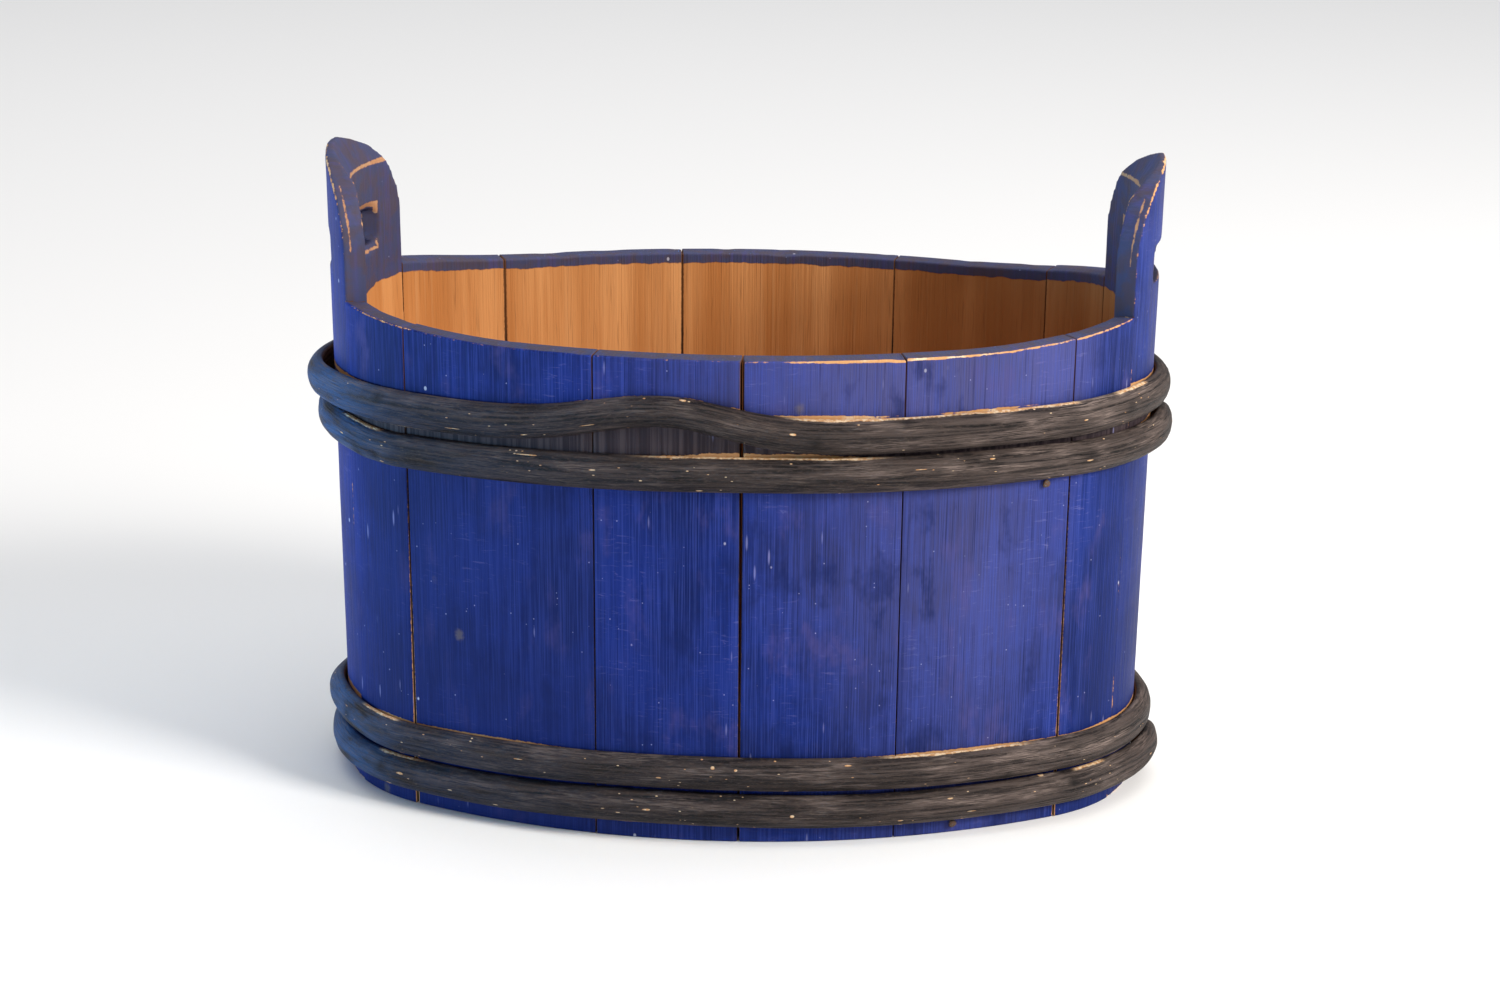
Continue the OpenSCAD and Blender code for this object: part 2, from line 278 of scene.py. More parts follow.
def scarf(along):
    """Depths of a rod's back and front at a distance from its start, as parts of its full depth."""
    start = np.clip(along / LAP_LENGTH, 0, 1)
    climb = np.clip((along - PERIMETER + LAP_RAMP) / LAP_RAMP, 0, 1)
    end = np.clip((along - PERIMETER) / LAP_LENGTH, 0, 1)
    back = SCARF_TIP * (3 - 2 * climb) * climb ** 2 + (1 - SCARF_TIP) * end
    front = SCARF_TIP + (1 - SCARF_TIP) * start + 0.1 * climb + 0.12 * end
    return back, front


def rubbed_edges(which, direction, across):
    amount = np.zeros(np.broadcast_shapes(direction.shape, across.shape))
    for rod, side, at, spread in RUBBED_EDGES:
        if rod == which:
            amount = np.maximum(amount, hump(direction, at, spread) * (across * side > 0))
    return amount


def chip_place(rod, direction, part):
    """Where a chip lies in the grain coordinates of its rod."""
    along = (length_at(direction) - length_at(90.0) - LAP_START[rod]) % PERIMETER
    return along + rod, part * ROD_HEIGHT


def rod_mesh(which):
    """A split sapling: half round, lumpy and knotted, with the two ends scarfed over each other."""
    front_points, back_points = 22, 6
    count = front_points + back_points
    length = PERIMETER + LAP_LENGTH
    steps = int(length / ROD_STEP)
    along = np.linspace(0, length, steps + 1)[:, None]
    direction = direction_at(length_at(90.0) + LAP_START[which] + along) % 360
    back, front = scarf(along)
    middle = rod_z(which, direction)
    base = rod_gap(which, direction) - draw_in(middle)
    base = base + np.where(along > PERIMETER - LAP_RAMP, LAP_CLEARANCE, 0)
    angle = np.radians(np.linspace(-90, 90, front_points))
    across = np.concatenate([np.sin(angle), np.linspace(0.86, -0.86, back_points)])[None, :]
    swell = np.concatenate([0.12 + 0.88 * np.cos(angle) ** 0.9, np.full(back_points, 0.0)])[None, :]
    on_back = np.broadcast_to(np.repeat([0.0, 1.0], [front_points, back_points]), (steps + 1, count))

    line = np.hstack([along, 0 * along, 0 * along])
    slow = smooth_noise(line, (5, 1, 1), 11 * which + 3.1)[:, None]
    quick = smooth_noise(line, (14, 1, 1), 7 * which + 1.3)[:, None]
    thinned = 0.13 * hump(direction, 264.5, 8) if which == 0 else 0
    half = ROD_HEIGHT / 2 * (0.965 + 0.035 * slow) * (1 - thinned)
    depth = (front - back) * ROD_DEPTH * (0.95 + 0.05 * quick)
    spots = np.stack(np.broadcast_arrays(along, across * ROD_HEIGHT / 2 * 1.4, 0 * along), -1).reshape(-1, 3)
    lumps = smooth_noise(spots, (38, 90, 1), 5 * which + 0.7).reshape(steps + 1, -1)
    fibres = smooth_noise(spots, (16, 420, 1), 3 * which + 9.2).reshape(steps + 1, -1)
    relief = (0.5 * MM * (lumps - 0.8) + 0.28 * MM * (fibres - 0.8)) * (swell > 0)
    pits = np.zeros_like(relief)
    for rod, at, part, size_mm, height_mm in KNOTS:
        if rod == which:
            size, height = size_mm * MM, height_mm * MM
            run = length_at(direction) - length_at(at)
            far = np.hypot(run, (across - part) * ROD_HEIGHT / 2)
            knot = np.exp(-(far / size) ** 2)
            ring = np.exp(-((far - size * 0.8) / (size * 0.35)) ** 2)
            relief += height * knot + (0.5 * MM * ring if height < 0 else 0)
            pits = np.maximum(pits, np.exp(-(far / (size * 0.55)) ** 2))
    thin = np.clip((front - back) * 1.2, 0.25, 1)
    out = base + back * ROD_DEPTH + depth * swell + np.minimum(relief, 0.9 * MM) * thin * (swell > 0.3)
    z = middle + across * half + 0.5 * MM * slow + 10 * MM * thinned
    x, y = plan(np.broadcast_to(direction, out.shape), out)
    points = np.stack([x, y, np.broadcast_to(z, out.shape)], -1).reshape(-1, 3)
    low, high = np.array(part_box(HOOPS[which]))
    points = np.clip(points, low + 0.1 * MM, high - 0.1 * MM)

    loops = grid_faces(steps + 1, count)
    ends = [list(range(first, first + count)) for first in (0, steps * count)]
    shape = out.shape
    facts = {
        "grain": np.stack([np.broadcast_to(along + which, shape), np.broadcast_to(across * ROD_HEIGHT, shape),
                           0.02 * on_back], -1).reshape(-1, 3),
        "across": np.broadcast_to(across, shape).ravel(),
        "pit": pits.ravel(),
        # Painted reflection of blue light on the hoops' left end
        "painted_reflection_side": np.broadcast_to(hump(direction, 205, 30), shape).ravel(),
        # Wear and painted light: the hoops' right side and top half made paler
        "worn_and_lit_side": np.broadcast_to(hump(direction, 305, 26) + 0.25 * (across > 0.2), shape).ravel(),
        "rubbed": rubbed_edges(which, direction, across).ravel(),
        "on_back": on_back.ravel()}
    return build_mesh(HOOPS[which], points, loops + ends, facts)


# ---- Staves ----

JOINTS = [33, CORNER, 77, 96, 112, 140, 213, 180 + CORNER, 259, 270.5, 283, 360 - CORNER, 324, 393]
STAVES = [f"back_stave_{n}" for n in range(1, 6)] + ["ear_stave_left"]
STAVES += [f"front_stave_{n}" for n in range(1, 7)] + ["ear_stave_right"]
# Joint: its width at the rim and at the foot, and the width of bare wood along its edges at the rim and at
# the foot, in mm. A bare width below 0 leaves the paint whole there.
JOINT_LOOK = {
    3: (0.5, 0.5, -0.4, -0.4), 4: (0.6, 0.6, -0.4, -0.4), 6: (0.3, 0.3, -0.4, -0.4), 7: (0.3, 1.2, -0.4, 0.8),
    8: (0.9, 0.8, -0.4, 0.15), 9: (3, 1.6, -0.2, 0.05), 10: (0.7, 0.6, -0.3, 0), 11: (0.3, 1.1, -0.3, 0.7),
    12: (0.4, 0.4, 0, 0.1)}
PLAIN_JOINT = (0.5, 0.5, -0.3, -0.3)
RIM_EDGE = 1.4 * MM      # radius worn on to the rim's edges
JOINT_EDGE = 0.7 * MM    # radius worn on to the edges at the joints
GROOVE = (25 * MM, 35 * MM, 6 * MM)   # bottom, top and depth of the groove for the boards

# How faded and lit (above 0) or deep and shaded (below 0) the paint is, by direction: partly the paint's own
# wear, partly painted light and shade
PAINT_TONE_AND_LIGHT = [
    (0, 0.1), (180, 0), (205, -0.1), (222, -0.75), (240, -1), (257, -0.6), (270, 0), (280, 0.45), (290, 0.7),
    (299, 0.2), (310, -0.5), (335, -0.6), (360, 0.1)]
# Painted shade on the bare wood inside, by direction: how far it is darkened where the inside lies in shade
PAINTED_SHADE_INSIDE = [(0, 0.48), (62, 0.40), (74, 0.28), (80, 0), (340, 0), (360, 0.50)]
# Joint: width of the dark line beside it inside, in mm
DARK_BESIDE = {1: 0.5, 2: 0.5, 3: 0.9, 4: 1.1, 5: 0.4}
PLAIN_DARK = 0.35


def dark_beside(number, at_left):
    left, right = [DARK_BESIDE.get(joint % len(STAVES), PLAIN_DARK) for joint in (number, number + 1)]
    return np.where(at_left, left, right) * MM


def joint_look(number, z):
    """Half the joint's width and the width of bare wood beside it, at height z."""
    rim_gap, foot_gap, rim_bare, foot_bare = JOINT_LOOK.get(number % len(STAVES), PLAIN_JOINT)
    part = np.clip(z / RIM, 0, 1)
    return ((foot_gap + (rim_gap - foot_gap) * part ** 1.5) / 2 * MM,
            (foot_bare + (rim_bare - foot_bare) * part) * MM)


def section_loop(width, inset, columns):
    """A closed loop round a stave's section: left to right along the outside, then back along the inside."""
    r = max(JOINT_EDGE - inset, 0.1 * MM)
    left, right, outer, inner = inset, width - inset, -inset, inset - WALL
    quarter = np.radians([0, 30, 60, 90])
    spread = np.linspace(left + r, right - r, columns)
    sides = np.linspace(outer - r, inner + r, 7)[1:-1]
    loop = [(s, outer) for s in spread]
    loop += [(right - r + r * math.sin(a), outer - r + r * math.cos(a)) for a in quarter[1:]]
    loop += [(right, o) for o in sides]
    loop += [(right - r + r * math.cos(a), inner + r - r * math.sin(a)) for a in quarter]
    loop += [(s, inner) for s in spread[-2:0:-1]]
    loop += [(left + r - r * math.cos(a), inner + r - r * math.sin(a)) for a in quarter[::-1]]
    loop += [(left, o) for o in sides[::-1]]
    loop += [(left + r - r * math.sin(a), outer - r + r * math.cos(a)) for a in quarter[:0:-1]]
    return np.array(loop)


def stave_rows():
    """Heights of the rows on a level stave, and how far each is drawn in to round the end's edges."""
    bend = np.radians([0, 22, 45, 67, 90])
    foot = [(RIM_EDGE * (1 - math.cos(a)), RIM_EDGE * (1 - math.sin(a))) for a in bend]
    head = [(RIM - RIM_EDGE * (1 - math.cos(a)), RIM_EDGE * (1 - math.sin(a))) for a in bend[::-1]]
    lip = 0.15 * MM
    low_lip, high_lip, _ = GROOVE
    groove = [(low_lip - lip, 0), (low_lip + lip, 0), (30 * MM, 0), (high_lip - lip, 0), (high_lip + lip, 0)]
    body = [(z, 0) for z in np.linspace(40 * MM, RIM - 6 * MM, 56)]
    low = [(z, 0) for z in (6 * MM, 12 * MM, 18 * MM)]
    high = [(RIM - 4.5 * MM, 0), (RIM - 3.2 * MM, 0), (RIM - 2.3 * MM, 0)]
    return np.array(foot + low + groove + body + high + head)


# Bare wood left above a rod's top edge where the hoop has slipped down: rod, direction, spread, width in mm
SLIPPED = [
    (0, 278, 5, 1.4), (0, 290, 6, 0.6), (0, 322, 10, 0.3), (0, 60, 12, 1), (0, 130, 15, 1.2),
    (2, 230, 8, 0.8), (2, 252, 5, 0.3), (2, 287, 6, 0.2), (2, 318, 8, 0.4), (2, 85, 16, 1.2),
    (2, 150, 12, 0.9)]
BEHIND = 1.2 * MM        # how far the paint runs on behind a rod that hasn't slipped


def bare_above(which, direction):
    width = np.full(np.shape(direction), -BEHIND)
    for rod, at, spread, most in SLIPPED:
        if rod == which:
            width = np.maximum(width, (most * MM + BEHIND) * hump(direction, at, spread) - BEHIND)
    return width


def band_depth(direction):
    """How far down the inside is painted: a narrow band, which dips on the ears' inner faces."""
    ear = np.maximum(hump(direction, 186, 24), hump(direction, 354, 24)) + hump(direction, -6, 24)
    return 7.5 * MM + 20 * MM * ear


def rim_bare(direction):
    """Width of the bare line along the rim's outer edge."""
    right = 1.4 * hump(direction, 281, 8) + 1.0 * hump(direction, 305, 22)
    left = 0.6 * hump(direction, 230, 20)
    return (0.35 + 0.75 * right + left + 0.3 * hump(direction, 80, 30)) * MM


def surface_facts(x, y, z, along, width, number):
    """What the paint needs to know at each point: how far it is from edges, joints, rods and the rim."""
    direction, out = facing(x, y)
    through = -(out + draw_in(z))
    below = rim_z(x) - z
    left_bare = joint_look(number, z)[1]
    right_bare = joint_look(number + 1, z)[1]
    edge = ROD_HEIGHT / 2
    over = np.full(z.shape, 1.0)
    for rod in (0, 2):
        top = rod_z(rod, direction) + edge
        over = np.minimum(over, np.maximum(z - top - bare_above(rod, direction), top - 5 * MM - z))
    bottom = rod_z(1, direction) - edge
    slip = (3.6 * hump(direction, 300, 5) + 2.8 * hump(direction, 316, 8) - 2.0) * MM
    under = np.maximum(bottom - slip - z, z - bottom - 5 * MM)
    # The tone by direction is partly painted light and shade; it is also made lighter above the top rods and
    # darker towards the bottom
    tone = np.interp(direction, *zip(*PAINT_TONE_AND_LIGHT)) + 0.6 * np.clip((z - 0.30) / 0.03, 0, 1)
    tone = tone - 0.3 * np.clip((0.18 - z) / 0.1, 0, 1)
    strip = (6 * hump(direction, 272, 8) - 3.5) * MM
    aside = np.minimum(along, width - along)
    inside = (through > 2 * MM) & (below > 0)
    offset = 3.7 * number
    return {
        "through": through,
        "band": below - band_depth(direction),
        "left": along - left_bare,
        "right": width - along - right_bare,
        "over": over,
        "under": under,
        # Faded paint, partly painted light, and deep paint, partly painted shade
        "faded_and_lit": np.clip(tone, 0, 1),
        "deep": np.clip(-tone, 0, 1),
        # Painted shade on the bare wood inside
        "painted_inside_shade": np.interp(direction, *zip(*PAINTED_SHADE_INSIDE)) * (through > 3 * MM),
        "seam": aside + np.where(inside, 0, 1) - dark_beside(number, along < width / 2),
        "between": z - rod_z(1, direction) - edge - np.minimum(strip, 1.6 * MM),
        # Painted shade on the joints' side faces, down in the gaps
        "painted_gap_shade": np.clip(through / (1.5 * MM), 0, 1) * (aside < 0.35 * MM) * (below > 0.5 * MM),
        "grain": np.stack([along + offset, through, z + offset], -1)}


def stave_mesh(number):
    name = STAVES[number]
    start, end = length_at(JOINTS[number]), length_at(JOINTS[number + 1])
    width = end - start
    columns = max(9, round(width / (4 * MM)))
    rows = stave_rows()
    s, o, z = [], [], []
    for height, inset in rows:
        loop = section_loop(width, inset, columns)
        s.append(loop[:, 0])
        o.append(loop[:, 1])
        z.append(np.full(len(loop), height))
    s, o, z = np.array(s), np.array(o), np.array(z)

    # The joints' own widths, taken off the two edges; each joint is nearly shut on the inside
    closing = np.clip(1 + o / (0.6 * WALL), 0.1, 1)
    left_gap, right_gap = joint_look(number, z)[0] * closing, joint_look(number + 1, z)[0] * closing
    squeezed = left_gap + s * (width - left_gap - right_gap) / width
    in_groove = (z > GROOVE[0]) & (z < GROOVE[1]) & (o < JOINT_EDGE * 3 - WALL)
    deep = np.where(in_groove, GROOVE[2], 0)
    direction = direction_at(start + squeezed)
    spots = np.stack([s + 5.3 * number, o, z], -1).reshape(-1, 3)
    wobble = smooth_noise(spots, (14, 1, 6), 2.3).reshape(s.shape)
    planed = smooth_noise(spots, (120, 1, 4), 8.8).reshape(s.shape)
    proud = (0.22 * math.sin(number * 2.4) - 0.3) * MM
    outside = o > -WALL / 2
    out = o + deep + proud + np.where(outside, 1, -1) * (0.22 * MM * (wobble - 1) + 0.05 * MM * planed)
    x, y = plan(direction, out - draw_in(z))
    lift = (rim_z(x) - RIM) * np.clip((z - 0.30) / (RIM - 0.30), 0, 1)
    chips = smooth_noise(spots, (60, 60, 3), 4.4).reshape(s.shape)
    worn = np.clip(chips - 0.25, 0, 1) * 1.6 * MM * np.clip((z - RIM + 4 * MM) / (4 * MM), 0, 1)
    height = z + lift - worn
    points = np.stack([x, y, height], -1).reshape(-1, 3)

    # Each end: quads from the outside's points to the inside's behind them, and a face at either side
    count = s.shape[1]
    faces = grid_faces(len(rows), count)
    turn = count // 2    # the inside's first point, after the outside and one side
    inner = list(range(turn, turn + columns))[::-1]
    for first in (0, (len(rows) - 1) * count):
        for i in range(columns - 1):
            faces.append([first + i, first + i + 1, first + inner[i + 1], first + inner[i]])
        faces.append([first + k for k in range(columns - 1, inner[-1] + 1)])
        faces.append([first + k for k in range(inner[0], count)] + [first])
    facts = surface_facts(x.ravel(), y.ravel(), height.ravel(), s.ravel(), width, number)
    facts["through"] = -o.ravel()
    facts["rim_line"] = (np.abs(RIM - z) + np.abs(o)).ravel() - rim_bare(direction.ravel() % 360)
    facts["crest"] = np.ones(s.size)
    facts["painted_slot_shade"] = np.zeros(s.size)
    facts["worn_edge"] = np.zeros(s.size)
    return build_mesh(name, points, faces, facts)


# ---- Ears ----

VOXEL = 1.45 * MM
SLOT_HALF = (40 * MM, 12.5 * MM)
SLOT_Z = RIM + SHEER + 26 * MM
MOUTH = 6 * MM           # width of the bevel round the slot's inner mouth
MOUTH_DEPTH = 5 * MM
CREST_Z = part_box("ear_stave_left")[1][2] - 23.4 * MM   # foot of the chamfer inside the ears' tops


def mouth_tool(middle, radii, margins):
    """A flared plug round the slot, bent to the ear's curve, between two radii."""
    shape = []
    corner = 5
    for k in range(4):
        for i in range(corner):
            shape.append((k, math.radians(90 * k + 90 * i / (corner - 1))))
    loops = []
    for radius, margin in zip(radii, margins):
        half_s, half_z = SLOT_HALF[0] + margin, SLOT_HALF[1] + margin
        r = 7 * MM + max(margin, 0) * 0.6
        loop = []
        for k, a in shape:
            cs = (half_s - r) * (1 if k in (0, 3) else -1)
            cz = (half_z - r) * (1 if k in (0, 1) else -1)
            loop.append((cs + r * math.cos(a), cz + r * math.sin(a)))
        full = []
        for i, p in enumerate(loop):
            q = loop[(i + 1) % len(loop)]
            pieces = 10 if abs(p[0] - q[0]) > 20 * MM else 1
            parts = [t / pieces for t in range(pieces)]
            full += [(p[0] + (q[0] - p[0]) * t, p[1] + (q[1] - p[1]) * t) for t in parts]
        d = middle + np.degrees(np.array([p[0] for p in full]) / END_RADIUS)
        x, y = plan(d, radius - END_RADIUS)
        loops.append(np.stack([x, y, SLOT_Z + np.array([p[1] for p in full])], -1))
    n = len(loops[0])
    faces = grid_faces(len(loops), n)
    for first in (0, (len(loops) - 1) * n):
        faces += [[first + i, first + i + 1, first + n - 2 - i, first + n - 1 - i] for i in range(n // 2 - 1)]
    tool = bpy.data.objects.new("tool", closed_mesh("tool", np.concatenate(loops), faces))
    bpy.context.collection.objects.link(tool)
    return tool


def evaluated(piece):
    bpy.context.view_layer.update()
    graph = bpy.context.evaluated_depsgraph_get()
    return bpy.data.meshes.new_from_object(piece.evaluated_get(graph), depsgraph=graph)


def neighbours(values, edges):
    """The sum of the values at each vertex's neighbours, and how many neighbours it has."""
    total, count = np.zeros_like(values), np.zeros(len(values))
    for a, b in (edges.T, edges.T[::-1]):
        np.add.at(total, a, values[b])
        np.add.at(count, a, 1)
    return total, count


def convexity(points, edges, normals):
    """How far each vertex stands out of its neighbours, in metres: positive on worn outer edges."""
    total, count = neighbours(points, edges)
    mean = total / np.maximum(count, 1)[:, None]
    return -np.einsum("ij,ij->i", mean - points, normals)


def read(what, key, width, kind=np.float32):
    values = np.empty(len(what) * width, kind)
    what.foreach_get(key, values)
    return values.reshape(-1, width) if width > 1 else values


def blurred(values, edges, times):
    for _ in range(times):
        total, count = neighbours(values, edges)
        values = (values + total) / (count + 1)
    return values


def ear_mesh(number, middle):
    """The ear's solid, with its slot's mouths flared and every edge worn round."""
    name = STAVES[number]
    block = bpy.data.objects.new("block", frame["nodes"][name].data.copy())
    bpy.context.collection.objects.link(block)
    work = welded(block.data)
    work.to_mesh(block.data)
    work.free()
    inner, outer = END_RADIUS - WALL, END_RADIUS
    levels = (inner - 2 * MM, inner, inner + MOUTH_DEPTH)
    tools = [mouth_tool(middle, levels, (MOUTH * 1.3, MOUTH, -0.5 * MM)),
             mouth_tool(middle, (outer - 3 * MM, outer, outer + 2 * MM), (-0.5 * MM, 1.5 * MM, 2.5 * MM))]
    for tool in tools:
        cut = block.modifiers.new("cut", "BOOLEAN")
        cut.operation = "DIFFERENCE"
        cut.object = tool
        cut.solver = "EXACT"
    remesh = block.modifiers.new("remesh", "REMESH")
    remesh.mode = "VOXEL"
    remesh.voxel_size = VOXEL
    soften = block.modifiers.new("soften", "SMOOTH")
    soften.factor = 0.5
    soften.iterations = 5
    mesh = evaluated(block)
    for spent in tools + [block]:
        bpy.data.objects.remove(spent)
    mesh.name = name
    mesh.materials.clear()

    points = read(mesh.vertices, "co", 3).astype(float)
    normals = read(mesh.vertices, "normal", 3).astype(float)
    edges = read(mesh.edges, "vertices", 2, np.int32)
    bulge = blurred(convexity(points, edges, normals), edges, 2)
    rough = smooth_noise(points, (55, 55, 18), 6.1) + 0.5 * smooth_noise(points, (150, 150, 60), 2.2)
    low, high = points.min(0), points.max(0)
    points = points + normals * (0.16 * MM * (rough - 1.2))[:, None]
    points = np.clip(points, low, high)
    mesh.vertices.foreach_set("co", points.ravel().astype(np.float32))
    x, y, z = points.T
    direction, _ = facing(x, y)
    start, end = length_at(JOINTS[number]), length_at(JOINTS[number + 1])
    along = (length_at(direction) - start) % PERIMETER
    along = np.where(along > PERIMETER / 2, 0, along)
    facts = surface_facts(x, y, z, along, end - start, number)
    above = z > rim_z(x) + 0.5 * MM
    facts["left"] = np.where(above, 1.0, facts["left"])
    facts["right"] = np.where(above, 1.0, facts["right"])
    facts["rim_line"] = np.ones(len(x))
    through = facts["through"]
    turned = np.radians(direction)
    sideways = np.abs(normals[:, 1] * np.cos(turned) - normals[:, 0] * np.sin(turned))
    strip = np.where((sideways > 0.75) & (z > SLOT_Z + 4 * MM), np.abs(through - 6.5 * MM) - 0.55 * MM, 1)
    crown = np.where(sideways < 0.5, np.hypot(through - WALL, z - CREST_Z) - 1.5 * MM, 1)
    beyond_s = np.abs(END_RADIUS * np.sin(turned - math.radians(middle))) - SLOT_HALF[0]
    beyond_z = np.abs(z - SLOT_Z) - SLOT_HALF[1]
    beyond = np.maximum(beyond_s, beyond_z)
    mouth = np.hypot(beyond - MOUTH * 0.7, through - WALL) - np.where(z > SLOT_Z + 8 * MM, 2.4, 1.2) * MM
    facts["crest"] = np.minimum(np.minimum(strip, crown), mouth)
    # Painted shade inside the slot, darker deeper in
    depth = np.clip((WALL - 1.5 * MM - through) / (4 * MM), 0, 1)
    facts["painted_slot_shade"] = (beyond < 1.2 * MM) * depth * (through > MM)
    facts["worn_edge"] = bulge / (0.1 * MM)
    set_facts(mesh, facts)
    return mesh


# ---- Nails ----

def nail_meshes():
    """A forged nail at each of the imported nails: a squarish shank and a low hammered head."""
    work = welded(frame["nodes"]["hoop_nails"].data)
    seen, groups = set(), []
    for v in work.verts:
        if v.index in seen:
            continue
        stack, group = [v], []
        seen.add(v.index)
        while stack:
            u = stack.pop()
            group.append(u.co.copy())
            for e in u.link_edges:
                w = e.other_vert(u)
                if w.index not in seen:
                    seen.add(w.index)
                    stack.append(w)
        groups.append(np.array(group))
    work.free()
    groups.sort(key=lambda g: tuple(np.round(g.mean(0), 4)))
    points, faces, tones = [], [], []
    for k, group in enumerate(groups):
        centre = group.mean(0)
        direction = math.radians(float(facing(centre[0], centre[1])[0]))
        axis = np.array([math.cos(direction), math.sin(direction), 0])
        side = np.array([-axis[1], axis[0], 0])
        up = np.array([0, 0, 1.0])
        reach = group @ axis
        z = (group[:, 2].max() + group[:, 2].min()) / 2
        across = float(((group @ side).max() + (group @ side).min()) / 2)
        tip, top = reach.min(), reach.max()
        sides = 10
        head = [(1.6, 1.2), (1.5, 2.7), (1.1, 3.1), (0.7, 2.9), (0.25, 1.9), (0.1, 0.9)]
        profile = [(tip, 0.15), (tip + 5 * MM, 1.1)] + [(top - below * MM, radius) for below, radius in head]
        first = len(points)
        for level, radius in profile:
            for j in range(sides):
                a = 2 * math.pi * j / sides + k
                lobed = 1 + 0.07 * math.sin(3 * a + k) + 0.05 * math.sin(5 * a + 2 * k)
                square = 1 / max(abs(math.cos(a)), abs(math.sin(a))) * 0.85
                r = radius * MM * (lobed if radius > 1.5 else square)
                tilt = 0.12 * MM * math.sin(a + 2 * k) if radius > 1.5 else 0
                out_and_along = axis * (level - abs(tilt)) + side * (across + r * math.cos(a))
                points.append(out_and_along + up * (z + r * math.sin(a)))
                tones.append(level > top - 0.5 * MM)
        faces += [[first + f for f in face] for face in grid_faces(len(profile), sides)]
        faces.append([first + j for j in range(sides)])
        faces.append([first + (len(profile) - 1) * sides + j for j in range(sides)])
    return build_mesh("hoop_nails", np.array(points), faces, {"rubbed": np.array(tones, float)})


# ---- Materials ----

class Shader:
    """A material's node tree, with short ways to add the nodes used here."""

    def __init__(self, name, **constants):
        self.material = bpy.data.materials.new(name)
        self.material.use_nodes = True
        self.tree = self.material.node_tree
        self.surface = self.tree.nodes["Principled BSDF"]
        for key, value in constants.items():
            self.surface.inputs[key.replace("_", " ")].default_value = value

    def node(self, kind, settings=None, **inputs):
        made = self.tree.nodes.new(kind)
        for key, value in (settings or {}).items():
            setattr(made, key, value)
        for key, value in inputs.items():
            self.put(made.inputs[key.replace("_", " ")], value)
        return made

    def put(self, socket, value):
        if isinstance(value, bpy.types.NodeSocket):
            self.tree.links.new(value, socket)
        else:
            socket.default_value = value

    def fact(self, name):
        return self.node("ShaderNodeAttribute", {"attribute_name": name}).outputs["Fac"]

    def vector(self, name):
        return self.node("ShaderNodeAttribute", {"attribute_name": name}).outputs["Vector"]

    def position(self):
        return self.node("ShaderNodeNewGeometry").outputs["Position"]

    def math(self, operation, a, b=0.0):
        made = self.node("ShaderNodeMath", {"operation": operation})
        for socket, value in zip(made.inputs, (a, b)):
            self.put(socket, value)
        return made.outputs[0]

    def times(self, a, b):
        return self.math("MULTIPLY", a, b)

    def plus(self, a, b):
        return self.math("ADD", a, b)

    def centred(self, value, size):
        """Noise moved to lie about 0, times size."""
        return self.times(self.math("SUBTRACT", value, 0.5), size)

    def most(self, first, *others):
        for other in others:
            first = self.math("MAXIMUM", first, other)
        return first

    def scaled(self, vector, x, y, z):
        made = self.node("ShaderNodeVectorMath", {"operation": "MULTIPLY"})
        self.put(made.inputs[0], vector)
        made.inputs[1].default_value = (x, y, z)
        return made.outputs[0]

    def noise(self, vector, scale, detail=3.0, roughness=0.55, distortion=0.0):
        """Noise from 0 to 1; scale is cycles per metre along each axis of vector."""
        made = self.node("ShaderNodeTexNoise", {"noise_dimensions": "3D"}, Vector=self.scaled(vector, *scale),
                         Scale=1.0, Detail=detail, Roughness=roughness, Distortion=distortion)
        return made.outputs["Fac"]

    def spots(self, vector, scale, edge, channel, share, waver=None):
        """Soft spots, in the cells whose random colour is past share in one channel. Waver roughens them."""
        made = self.node("ShaderNodeTexVoronoi", Vector=self.scaled(vector, *scale), Scale=1.0)
        chosen = self.node("ShaderNodeSeparateColor", Color=made.outputs["Color"]).outputs[channel]
        distance = made.outputs["Distance"]
        if waver is not None:
            distance = self.plus(distance, waver)
        return self.times(self.step(distance, *edge), self.step(chosen, *share))

    def step(self, value, low, high):
        """0 at low, 1 at high and smooth between; low may be the larger one."""
        made = self.node("ShaderNodeMapRange", {"interpolation_type": "SMOOTHSTEP"})
        flip = low > high
        self.put(made.inputs["Value"], value)
        made.inputs["From Min"].default_value = min(low, high)
        made.inputs["From Max"].default_value = max(low, high)
        made.inputs["To Min"].default_value = 1.0 if flip else 0.0
        made.inputs["To Max"].default_value = 0.0 if flip else 1.0
        return made.outputs["Result"]

    def mix(self, amount, a, b):
        """A colour that goes from a to b."""
        made = self.node("ShaderNodeMix", {"data_type": "RGBA"})
        self.put(made.inputs[0], amount)
        for socket, value in ((made.inputs[6], a), (made.inputs[7], b)):
            self.put(socket, value if isinstance(value, bpy.types.NodeSocket) else (*value, 1.0))
        return made.outputs[2]

    def lay(self, under, *layers):
        """Colours laid over one another in turn, each with its mask and how strongly it covers there."""
        for over, where, most in layers:
            under = self.mix(self.times(where, most), under, over)
        return under

    def blend(self, amount, a, b):
        """A number that goes from a to b."""
        made = self.node("ShaderNodeMix", {"data_type": "FLOAT"})
        for socket, value in zip((made.inputs[0], made.inputs[2], made.inputs[3]), (amount, a, b)):
            self.put(socket, value)
        return made.outputs[0]

    def bump(self, height, distance, below=None, strength=1.0):
        made = self.node("ShaderNodeBump", Height=height, Distance=distance, Strength=strength)
        if below is not None:
            self.put(made.inputs["Normal"], below)
        return made.outputs["Normal"]

    def finish(self, colour, roughness, normal):
        self.put(self.surface.inputs["Base Color"], colour)
        self.put(self.surface.inputs["Roughness"], roughness)
        self.put(self.surface.inputs["Normal"], normal)
        return self.material


